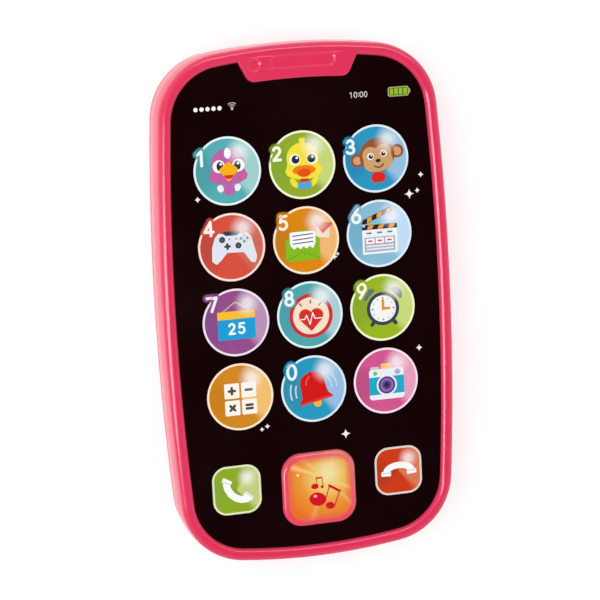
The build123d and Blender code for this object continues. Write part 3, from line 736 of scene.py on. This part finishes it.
def monkey(a):
    """A plain monkey, seen from the front, with its head a little tilted."""
    brown, tan = (152, 86, 46), (208, 162, 112)
    head = a.ink.turned(9, 0.45, 0.4)
    a.box(0.5, -5.3, 4.2, 2.8, 1.3, (220, 42, 32))
    for side in (-1, 1):
        a.add(head.circle(5.9 * side, 0.4, 1.9), brown)
        a.add(head.circle(5.9 * side, 0.3, 1.2), (216, 160, 116))
    a.add(head.ellipse(0, 0.5, 5.1, 4.8), brown)
    brow = melted(head.circle(-1.9, 1.0, 2.3), head.circle(1.9, 1.0, 2.3), 0.8)
    a.add(melted(brow, head.ellipse(0, -1.6, 4.3, 2.5), 1.2), tan)
    for side in (-1, 1):
        a.add(head.circle(1.95 * side, 0.6, 0.95), WHITE)
        a.add(head.circle(1.85 * side, 0.55, 0.66), (70, 36, 34))
        a.add(head.circle(0.2 + 1.85 * side, 0.8, 0.22), WHITE)
    a.add(head.ellipse(0, -1.0, 0.75, 0.5), (66, 36, 32))
    a.add(head.arc(0, -1.3, 1.6, 215, 325, 0.35), (120, 62, 40))


def gamepad(a):
    pale, dark = (226, 230, 240), (58, 62, 80)
    a.box(0.1, 3.6, 4.8, 1.7, 0.5, dark)
    outline = [
        (-3.4, 3.7), (-2.3, 3.5), (-1.7, 2.9), (1.9, 2.9), (2.5, 3.4), (4.5, 3.4),
        (5.4, 2.3), (6.7, -3.0), (6.3, -4.4), (5.5, -4.2), (3.5, -1.3), (-1.5, -1.1),
        (-3.2, -3.0), (-4.5, -4.1), (-5.4, -3.4), (-5.2, 0.2), (-4.3, 2.8),
    ]
    a.add(a.ink.shape(outline, 0.35), pale)
    for x, y in ((-2.6, 2.25), (1.9, 0.35)):
        a.circle(x, y, 0.85, dark)
        a.circle(x, y, 0.42, (92, 96, 116))
    a.add(either(a.ink.box(-1.2, 0.3, 1.8, 0.62, 0.1), a.ink.box(-1.2, 0.3, 0.62, 1.8, 0.1)), dark)
    a.add(either(a.ink.circle(-0.5, 2.25, 0.24), a.ink.circle(1.4, 2.25, 0.24)), (120, 124, 140))
    for x, y, tint in (
        (2.75, 2.25, (70, 120, 200)), (4.55, 2.25, (214, 90, 84)),
        (3.65, 1.4, (96, 176, 84)), (3.65, 3.1, (226, 186, 96)),
    ):
        a.circle(x, y, 0.4, tint)


def mail(a):
    green, pale = (135, 188, 34), (244, 226, 206)
    small = a.ink.turned(-7, 4.9, 2.3)
    a.add(small.box(0, -0.4, 4.0, 2.9, 0.2), pale)
    a.add(small.shape([(-2.4, 2.1), (2.4, 2.1), (0.1, -0.4)], 0.25), (224, 92, 62))
    flap = a.ink.shape([(-5.7, 0), (3.6, 0), (-0.7, 3.0)], 0.4)
    a.add(either(a.ink.box(-1.05, -2.75, 9.9, 5.7, 0.3), flap), green)
    teeth = [(-4.4 + 0.89 * i, -2.15 if i % 2 else -1.4) for i in range(1, 8)]
    torn = a.ink.shape([(-4.4, -1.2), *teeth, (2.3, -1.2)], 0.15)
    a.add(either(a.ink.box(-1.0, 0.7, 7.4, 3.7, 0.6), torn), WHITE)
    for y in (1.6, 0.45, -0.6):
        a.line([(-3.8, y - 0.15), (1.9, y + 0.15)], 0.3, (84, 80, 112))
    a.line([(-5.8, -5.3), (-1.0, -3.1), (3.7, -5.3)], 0.22, (112, 170, 22))


def clapperboard(a):
    black, orange = (40, 36, 38), (240, 160, 44)
    a.box(0.15, -2.2, 10.3, 6.9, 0.25, (244, 246, 250))

    def striped(grid, x, y, length):
        bar = grid.box(x, y, length, 1.35, 0.15)
        a.add(bar, black)
        for i in range(3):
            left = x - length / 2 + 1.2 + i * 3.1
            corners = [(left, -0.9), (left + 1.5, -0.9), (left + 2.5, 0.9), (left + 1.0, 0.9)]
            slant = grid.shape([(u, y + v) for u, v in corners])
            a.add(both(slant, bar + 0.1), orange)

    striped(a.ink, 0.15, 1.95, 10.3)
    striped(a.ink.turned(22, -4.6, 2.6), 4.6, 0.75, 9.4)
    a.circle(-4.5, 2.5, 0.45, (206, 208, 214))
    for x in (-3.0, 0.1, 3.1):
        a.box(x, 0.3, 1.5, 0.42, 0.15, (110, 122, 148))
    a.box(0.05, -2.95, 8.9, 4.1, 0.2, (168, 178, 192))
    for x in (-2.75, 0.05, 2.85):
        a.box(x, -1.95, 2.4, 1.5, 0.2, WHITE)
        a.box(x, -1.95, 1.4, 0.5, 0.2, (226, 72, 112))
    for y in (-3.4, -4.25):
        a.box(0.05, y, 8.1, 0.5, 0.15, (232, 236, 242))


def calendar(a):
    blue = (30, 158, 216)
    string = [(-4.1, 2.9), (-0.3, 5.6), (0.3, 5.6), (4.4, 2.9)]
    a.line(string, 0.28, (228, 196, 130))
    a.box(0.1, -0.75, 10.7, 8.0, 0.35, blue)
    a.add(both(a.ink.box(0.1, -0.75, 10.7, 8.0, 0.35), 1.0 - a.ink.y), (250, 190, 48))
    for x, digit in ((-1.3, "2"), (1.5, "5")):
        a.add(number(a.ink, digit, x, -1.7, 2.75, 0.6), WHITE)


def heart_gauge(a):
    red, peach = (206, 48, 56), (252, 226, 202)
    a.circle(0.3, -0.25, 6.3, red)
    a.circle(0.3, -0.25, 5.25, peach)
    a.add(a.ink.shape([(0.3, -0.25), (5.9, 4.6), (4.6, 6.6), (1.4, 7.4)], 0.3))
    a.circle(0.3, -0.25, 4.9, peach)
    for x, y in ((-2.6, 3.1), (0.3, 3.75), (3.0, 2.9)):
        lean = math.degrees(math.atan2(x - 0.3, y + 0.25))
        a.add(a.ink.turned(-lean, x, y).box(0, 0, 0.4, 1.15, 0.15), (104, 76, 72))
    lobes = either(a.ink.circle(-1.35, -0.1, 1.85), a.ink.circle(1.95, -0.1, 1.85))
    heart = either(lobes, a.ink.shape([(-2.9, -0.9), (0.3, 0.5), (3.5, -0.9), (0.3, -4.2)], 0.3))
    a.add(heart, (216, 48, 40))
    pulse = [(-3.0, -1.1), (-1.6, -1.1), (-1.0, 0.0), (-0.1, -2.7), (0.8, 0.6), (1.4, -1.1)]
    a.line([*pulse, (3.6, -1.1)], 0.27, WHITE)


def alarm_clock(a):
    slate, grey = (60, 66, 82), (104, 112, 130)
    for side in (-1, 1):
        a.line([(0.2 + 2.4 * side, -3.3), (0.2 + 3.5 * side, -4.7)], 1.1, slate)
        bell = a.ink.turned(-45 * side, 0.2 + 4.1 * side, 4.0)
        a.add(both(bell.ellipse(0, -0.6, 2.1, 1.9), -0.6 - bell.y), grey)
    a.circle(0.1, -0.3, 4.75, slate)
    a.circle(0.1, -0.3, 3.8, (246, 248, 246))
    for i in range(12):
        angle = math.radians(30 * i)
        x, y = 0.1 + 3.1 * math.sin(angle), -0.3 + 3.1 * math.cos(angle)
        a.circle(x, y, 0.22 if i % 3 == 0 else 0.14, slate)
    a.line([(0.1, 2.1), (0.1, -0.3), (1.9, -0.3)], 0.68, (238, 140, 44))
    a.circle(0.1, -0.3, 0.45, (238, 140, 44))


def calculator(a):
    dark = (84, 70, 66)
    signs = {
        (-2.35, 1.85): [[(-0.85, 0), (0.85, 0)], [(0, -0.85), (0, 0.85)]],
        (2.5, 1.85): [[(-0.85, 0), (0.85, 0)]],
        (-2.35, -3.0): [[(-0.65, -0.65), (0.65, 0.65)], [(-0.65, 0.65), (0.65, -0.65)]],
        (2.5, -3.0): [[(-0.85, 0.5), (0.85, 0.5)], [(-0.85, -0.5), (0.85, -0.5)]],
    }
    for (x, y), strokes in signs.items():
        a.box(x, y, 4.3, 4.3, 0.35, (252, 246, 236))
        moved = ([(x + u, y + v) for u, v in line] for line in strokes)
        a.add(either(*(a.ink.line(line, 0.72) for line in moved)), dark)


def bell(a):
    red = (212, 26, 24)
    grid = a.ink.turned(11, -0.1, 0.3)
    a.add(grid.circle(0.2, -4.6, 1.15), (240, 186, 52))
    a.add(grid.circle(0, 4.3, 0.55), red)
    half = [(1.3, 4.0), (2.6, 3.3), (3.2, 1.9), (3.3, -1.0), (3.6, -2.5), (4.6, -3.7)]
    outline = half + [(-x, y) for x, y in reversed(half)]
    a.add(grid.shape(outline, 0.35), red)
    a.add(grid.box(0, -3.75, 9.3, 0.7, 0.35), (226, 58, 44))
    a.add(grid.arc(0.8, 1.0, 2.7, 118, 172, 0.4), (234, 92, 74))
    for radii, start, end in (((5.5, 7.0), 163, 198), ((5.1, 6.6), 6, 40)):
        for r in radii:
            a.add(a.ink.arc(0.2, -0.4, r, start, end, 0.42), (200, 222, 240))


def photo_camera(a):
    body = (240, 240, 248)
    a.box(0.2, 4.1, 3.2, 1.9, 0.5, (255, 196, 118))
    a.box(-3.2, 3.7, 2.6, 1.1, 0.4, (206, 204, 220))
    a.box(0.2, -0.9, 10.3, 8.8, 0.9, body)
    a.box(0.2, -1.3, 10.3, 5.1, 0, (32, 170, 202))
    rings = ((3.0, body), (2.5, (92, 62, 136)), (1.95, (140, 112, 182)), (1.35, (96, 72, 142)))
    for r, tint in (*rings, (0.8, (54, 40, 88))):
        a.circle(0.2, -1.25, r, tint)
    a.circle(-3.1, 2.35, 0.6, (120, 196, 84))
    a.circle(3.5, 2.4, 0.8, (150, 150, 176))


def handset(a, lifted):
    """A telephone handset: lifted to the ear, or lying flat to hang up."""
    if lifted:
        handle = [(-3.0, 1.9), (-2.65, 0.4), (-1.7, -1.2), (-0.4, -2.3), (1.1, -2.9), (2.7, -2.9)]
        width = 2.0
        cups = [(-2.8, 2.65, -30), (3.2, -2.15, -42)]
    else:
        handle, width = bow(0.15, -0.45, 3.85, 2.0, 0, 180), 1.85
        cups = [(-3.7, -0.75, -4), (3.95, -0.65, 4)]
    a.line(handle, width, WHITE)
    for x, y, lean in cups:
        cup = a.ink.turned(lean, x, y)
        a.add(cup.box(0, 0, 2.9, 1.35, 0.25), WHITE)
        a.add(cup.box(0, -0.3 if (lifted and x < 0) else 0.3, 2.9, 0.14), (168, 178, 172))


# What each round key shows: drawing, ring, and its ground where it is full, dull and bright.
FACES = {
    "key_1": (bird, (228, 246, 248), (85, 172, 179), (74, 160, 165), (159, 209, 208)),
    "key_2": (duckling, (246, 250, 214), (145, 172, 45), (134, 168, 50), (199, 215, 123)),
    "key_3": (monkey, (222, 238, 252), (46, 151, 193), (42, 139, 180), (152, 193, 225)),
    "key_4": (gamepad, (252, 226, 216), (215, 80, 63), (191, 73, 63), (211, 106, 91)),
    "key_5": (mail, (253, 234, 204), (223, 136, 18), (198, 125, 25), (242, 185, 117)),
    "key_6": (clapperboard, (226, 242, 252), (139, 190, 216), (119, 176, 202), (195, 223, 248)),
    "key_7": (calendar, (240, 226, 242), (149, 77, 140), (139, 75, 137), (187, 147, 183)),
    "key_8": (heart_gauge, (226, 246, 246), (81, 167, 175), (77, 159, 172), (171, 208, 215)),
    "key_9": (alarm_clock, (246, 250, 210), (155, 185, 35), (141, 170, 43), (205, 220, 123)),
    "key_0": (bell, (222, 238, 252), (38, 153, 191), (47, 145, 174), (153, 191, 229)),
    "key_calculator": (calculator, (253, 234, 204), (210, 136, 34), (204, 127, 28), (245, 192, 115)),
    "key_camera": (photo_camera, (252, 228, 240), (213, 87, 144), (191, 80, 133), (235, 160, 192)),
}
# Each digit's middle and height; the digits hang over the ring of their key.
DIGITS = {
    "key_1": (-7.3, 3.95, 3.85), "key_2": (-7.2, 3.6, 3.45), "key_3": (-7.3, 3.8, 3.6),
    "key_4": (-6.3, 5.6, 3.75), "key_5": (-6.4, 5.45, 3.65), "key_6": (-6.6, 5.6, 3.9),
    "key_7": (-6.4, 5.6, 3.75), "key_8": (-5.8, 5.2, 3.75), "key_9": (-6.0, 5.3, 4.0),
    "key_0": (-6.2, 5.4, 4.05),
}
# A digit's halo: how far it spreads, and its share of the key's colour. Over the ring the
# key's ground shows instead, as far as the last spread.
HALO = ((1.05, 0.16), (0.93, 0.36), (0.8, 0.58), (0.68, 0.8), (0.55, 0.97))
# The sparkles on the screen, each with its middle and its reach.
SPARKLE = (250, 246, 246)
SPARKLES = [
    (-30.1, 32.0, 1.2), (34.2, 33.7, 1.2), (30.6, 28.5, 1.8), (33.0, 29.3, 1.1),
    (8.9, 13.5, 0.9), (8.0, 12.7, 1.2), (31.6, -15.6, 1.35), (-15.6, -34.1, 1.0),
    (-14.0, -33.4, 1.1), (8.7, -38.1, 1.8),
]
# The round keys: the print's ring, the pen of the digits, the key's own edge and the hole round it.
RING_R, RING_W, DIGIT_PEN = 9.5, 0.6, 0.8
CAP_R, HOLE_R = 9.9, 10.0
CALL_SIZE, CALL_CORNER, CALL_BORDER = 14.0, 4.1, 0.6


def key_middle(name):
    """The middle of a key's top, in millimetres."""
    low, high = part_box(name)
    return (low.x + high.x) / 2 / MM, (low.y + high.y) / 2 / MM, high.z / MM


def round_key(name, film_print):
    drawing, ring, full, dull, bright = FACES[name]
    x, y, z = key_middle(name)
    a = Print(Ink(RING_R + 1.4), BEAD_GLINT, bead_ground(name, full, dull, bright, BEAD_GLINT))
    a.circle(0, 0, RING_R, ring)
    a.circle(0, 0, RING_R - RING_W)
    drawing(a)
    for sparkle_x, sparkle_y, r in SPARKLES:
        star = a.ink.star(sparkle_x - x, sparkle_y - y, r)
        a.add(both(star, a.ink.circle(0, 0, CAP_R)), SPARKLE)
    if name in DIGITS:
        digit = number(a.ink, name[-1], *DIGITS[name], DIGIT_PEN)
        ground_disc, cap, hole = (a.ink.circle(0, 0, r) for r in (RING_R, CAP_R, HOLE_R))
        a.add(both(digit - HALO[-1][0], ground_disc))
        for spread, share in HALO:
            tint = tuple(share * value for value in full)
            glow = without(digit - spread, ground_disc)
            a.add(both(glow, cap), tint)
            film_print.add(both(glow, -hole), tint, a.ink, (x, y))
        pale = tuple((value + 252) / 2 for value in ring)
        a.add(both(digit, cap), pale)
        film_print.add(without(digit, hole), pale, a.ink, (x, y))
    piece = a.piece(f"{name}_picture", name, (x, y, z))


def call_key(name, full, dull, bright, border):
    x, y, z = key_middle(name)
    a = Print(Ink(CALL_SIZE / 2 + 1), CALL_GLINT, bead_ground(name, full, dull, bright, CALL_GLINT))
    a.box(0, 0, CALL_SIZE, CALL_SIZE, CALL_CORNER, border)
    inside = CALL_SIZE - 2 * CALL_BORDER
    a.box(0, 0, inside, inside, CALL_CORNER - CALL_BORDER)
    handset(a, name == "key_answer")
    piece = a.piece(f"{name}_picture", name, (x, y, z))


def music_picture():
    x, y, z = key_middle("music_button")
    a = Print(Ink(9.6), MUSIC_GLINT, music_ground())
    a.box(0, 0, PANEL_W, PANEL_H, PANEL_CORNER)
    a.add(a.ink.star(-6.3, 4.6, 0.9), (255, 226, 160))
    red = (214, 20, 42)
    small = [a.ink.ellipse(-1.45, 0.8, 1.1, 0.8), a.ink.ellipse(0.65, 0.45, 0.5, 0.42)]
    small += [a.ink.line([(-0.75, 1.0), (-1.05, 3.3), (0.7, 3.3), (0.95, 0.6)], 0.24)]
    a.add(either(*small, a.ink.box(-0.15, 3.15, 1.9, 0.5)), red)
    big = a.ink.turned(-14, -0.8, -3.0)
    a.add(big.ellipse(0, 0, 2.5, 1.95), red)
    a.add(big.ellipse(-0.9, 0.75, 0.55, 0.4), (255, 170, 170))
    stems = a.ink.line([(1.5, -3.2), (2.8, 0.5), (5.7, -1.4), (4.0, -5.6)], 0.3)
    beam = a.ink.line([(2.75, 0.55), (5.75, -1.35)], 0.75)
    a.add(either(stems, beam, a.ink.turned(-14, 2.75, -5.25).ellipse(0, 0, 1.3, 1.0)), red)
    piece = a.piece("music_button_picture", "music_button", (x, y, z))


def status_line(film_print):
    """Signal dots, wireless arcs, the time and a full battery along the top of the screen."""
    ink = Ink(9.0, 2.5)
    dots = either(*(ink.circle(-3.35 + 1.675 * i, 0, 0.6) for i in range(5)))
    film_print.add(dots, WHITE, ink, (-25.85, 56.5))
    waves = [ink.arc(0, -0.9, r, 54, 126, 0.18) for r in (0.75, 1.3, 1.85)]
    film_print.add(either(ink.circle(0, -0.75, 0.32), *waves), (214, 208, 212), ink, (-19.0, 56.8))
    colon = [ink.circle(0, y, 0.16) for y in (-0.38, 0.38)]
    hour = number(ink, "10", -1.5, 0, 1.45, 0.2)
    minutes = number(ink, "00", 1.45, 0, 1.45, 0.2)
    film_print.add(either(hour, minutes, *colon), (226, 222, 222), ink, (17.1, 57.3))
    case = either(ink.box(0, 0, 6.1, 2.7, 0.6), ink.box(3.2, 0, 0.5, 1.2, 0.2))
    inside = ink.box(0, 0, 5.5, 2.1, 0.4)
    bars = either(*(ink.box(-1.98 + 1.32 * i, 0, 1.05, 1.75, 0.15) for i in range(4)))
    for shape, tint in ((case, (166, 178, 122)), (inside, (56, 80, 22)), (bars, (150, 190, 40))):
        film_print.add(shape, tint, ink, (28.7, 57.4))


def screen_prints():
    film_print = Print(Ink(2.6))
    for name in FACES:
        film_print.level = 0
        round_key(name, film_print)
    film_print.level = 0
    call_key("key_answer", (142, 172, 38), (134, 170, 52), (196, 210, 132), (226, 232, 190))
    call_key("key_hang_up", (209, 60, 24), (184, 60, 30), (222, 122, 84), (228, 214, 206))
    status_line(film_print)
    for x, y, r in SPARKLES:
        film_print.level = 0
        star = film_print.ink.star(0, 0, r)
        for name in FACES:
            key_x, key_y, _ = key_middle(name)
            star = without(star, film_print.ink.circle(key_x - x, key_y - y, HOLE_R))
        film_print.add(star, SPARKLE, at=(x, y))
    piece = film_print.piece("screen_print", "phone", (0, 0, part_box("screen_film")[1].z / MM))


# -------- the rubber under the keys

# How far a dome's own points lie from its middle at most, and how far a key goes down.
DOME_REACH, KEY_TRAVEL = 5.2 * MM, 0.7 * MM
# How far the two domes of the music button lie from its middle.
MUSIC_DOME_X = 9.0 * MM


def domes():
    """The name, the joint and the middle of the dome under each key; the music button has two."""
    for key in (*FACES, "key_answer", "key_hang_up"):
        low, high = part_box(key)
        yield f"{key}_dome", f"{key}_press", (low + high).xy / 2
    low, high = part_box("music_button")
    for side, shift in (("left", -MUSIC_DOME_X), ("right", MUSIC_DOME_X)):
        middle = (low + high).xy / 2 + Vector((shift, 0))
        yield f"music_button_{side}_dome", "music_button_press", middle


def is_near(vert, middle):
    return (vert.co.xy - middle).length < DOME_REACH


def rubber_piece(name, look, chosen, middles, close):
    """Some faces of the CAD keypad as a piece, closed again round each of these middles."""
    mesh = bmesh.new()
    mesh.from_mesh(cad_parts["rubber_keypad"].data)
    bmesh.ops.remove_doubles(mesh, verts=mesh.verts, dist=TINY)
    mesh.normal_update()
    bmesh.ops.delete(mesh, geom=[face for face in mesh.faces if not chosen(face)], context="FACES")
    for middle in middles:
        open_edges = [edge for edge in mesh.edges if edge.is_boundary]
        close(mesh, edges=[edge for edge in open_edges if is_near(edge.verts[0], middle)])
    bmesh.ops.recalc_face_normals(mesh, faces=mesh.faces)
    data = bpy.data.meshes.new(name)
    mesh.to_mesh(data)
    mesh.free()
    data.materials.clear()
    data.materials.append(look)
    made = placed(name, data)
    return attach(made, "phone")


def rubber_keypad(look):
    """The keypad as a sheet and its domes, each dome a piece of its own.

    The carbon pills hang in the hollows of the sheet, so their tops are level with it.
    """
    sheet_top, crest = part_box("contact_pills")[1].z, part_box("rubber_keypad")[1].z
    places = list(domes())

    def raised(face):
        return max(v.co.z for v in face.verts) > sheet_top + TINY

    def roof(face):
        return face.normal.z < 0 and min(v.co.z for v in face.verts) > sheet_top - TINY

    def flat(face):
        return not raised(face) and not roof(face)

    middles = [middle for _, _, middle in places]
    sheet = rubber_piece("keypad_sheet", look, flat, middles, bmesh.ops.bridge_loops)
    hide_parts("rubber_keypad")
    for name, joint, middle in places:
        def of_dome(face, middle=middle):
            return raised(face) and is_near(face.verts[0], middle)

        dome = rubber_piece(name, look, of_dome, [middle], bmesh.ops.holes_fill)
        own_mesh(dome)


# -------- stage

# The floor reaches far, and lies a little below the flat back so that the two share no plane.
FLOOR_HALF, FLOOR_Z, FLOOR_GLOW = 6.0, -0.02 * MM, 0.55
# The world is a room: how light its walls are and how high they reach, and the same of its ceiling.
WALLS, WALLS_END = 0.62, 0.62
CEILING, CEILING_STARTS = 0.01, 0.86
# Each lamp: its name, direction from the phone, distance, size, power, and if gloss shows it.
LAMPS = (
    ("key_lamp", (-0.5, 0.22, 0.92), 1.0, (0.8, 0.8), 7.4, False),
    ("fill_lamp", (0.9, -0.4, 0.7), 1.0, (0.8, 0.8), 2.4, False),
    ("left_softbox", (-0.57, -0.17, 0.80), 0.9, (0.2, 0.9), 5.0, True),
    ("top_softbox", (0.26, 0.61, 0.75), 0.9, (0.9, 0.2), 2.8, True),
)
# The camera's own right, up and back directions, its place and its lens.
CAMERA_AXES = ((0.9613, -0.0512, 0.2706), (0.0969, 0.9827, -0.1581), (-0.2578, 0.1782, 0.9496))
CAMERA_PLACE = (-0.16312, 0.11241, 0.61124)
CAMERA_LENS, CAMERA_SENSOR = 134.09, 36.0


def floor():
    """A large plain pale floor that also gives a little light of its own."""
    mesh = bpy.data.meshes.new("floor")
    square = ((-1, -1), (1, -1), (1, 1), (-1, 1))
    corners = [(x * FLOOR_HALF, y * FLOOR_HALF, FLOOR_Z) for x, y in square]
    mesh.from_pydata(corners, [], [(0, 1, 2, 3)])
    grey = colour(200, 200, 200)
    look = Shader("floor_look", grey, 0.8, Specular_IOR_Level=0.1, Emission_Strength=FLOOR_GLOW)
    mesh.materials.append(look.tint(400.0, 0.3, colour(196, 196, 197)).bump(2.0, 0.01).material)
    made = placed("floor", mesh)


def lamp(name, towards, distance, size, power, glossy):
    """A soft lamp, aimed at the phone, that either lights it or shines in its gloss."""
    data = bpy.data.lights.new(name, "AREA")
    data.shape = "RECTANGLE"
    data.size, data.size_y, data.energy = *size, power
    made = placed(name, data)
    direction = Vector(towards).normalized()
    made.location = direction * distance
    made.rotation_mode = "QUATERNION"
    made.rotation_quaternion = direction.to_track_quat("Z", "Y")
    made.visible_glossy, made.visible_diffuse = glossy, not glossy


def lights():
    """A white room with a dark ceiling, so that the screen mirrors little, and the lamps."""
    world = bpy.data.worlds.new("studio")
    world.use_nodes = True
    tree = world.node_tree
    parts = tree.nodes.new("ShaderNodeSeparateXYZ")
    tree.links.new(tree.nodes.new("ShaderNodeTexCoord").outputs["Generated"], parts.inputs[0])
    dome = tree.nodes.new("ShaderNodeMapRange")
    for end, value in zip(RANGE_ENDS, (WALLS_END, CEILING_STARTS, WALLS, CEILING)):
        dome.inputs[end].default_value = value
    tree.links.new(parts.outputs["Z"], dome.inputs["Value"])
    tree.links.new(dome.outputs["Result"], tree.nodes["Background"].inputs["Strength"])
    tree.nodes["Background"].inputs["Color"].default_value = (1, 1, 1, 1)
    bpy.context.scene.world = world
    for settings in LAMPS:
        lamp(*settings)


def camera():
    """Looks down on the phone from its upper left."""
    data = bpy.data.cameras.new("camera")
    data.sensor_width, data.lens = CAMERA_SENSOR, CAMERA_LENS
    data.clip_start, data.clip_end = 0.01, 20.0
    made = placed("camera", data)
    turn = Matrix(CAMERA_AXES).transposed().to_4x4()
    made.matrix_world = Matrix.Translation(CAMERA_PLACE) @ turn
    bpy.context.scene.camera = made
    bpy.context.scene.view_settings.view_transform = "Standard"


camera()
lights()
floor()
for node, look in finishes().items():
    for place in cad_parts[node].material_slots:
        place.material = look
screen_prints()
music_picture()
rubber_keypad(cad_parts["rubber_keypad"].active_material)
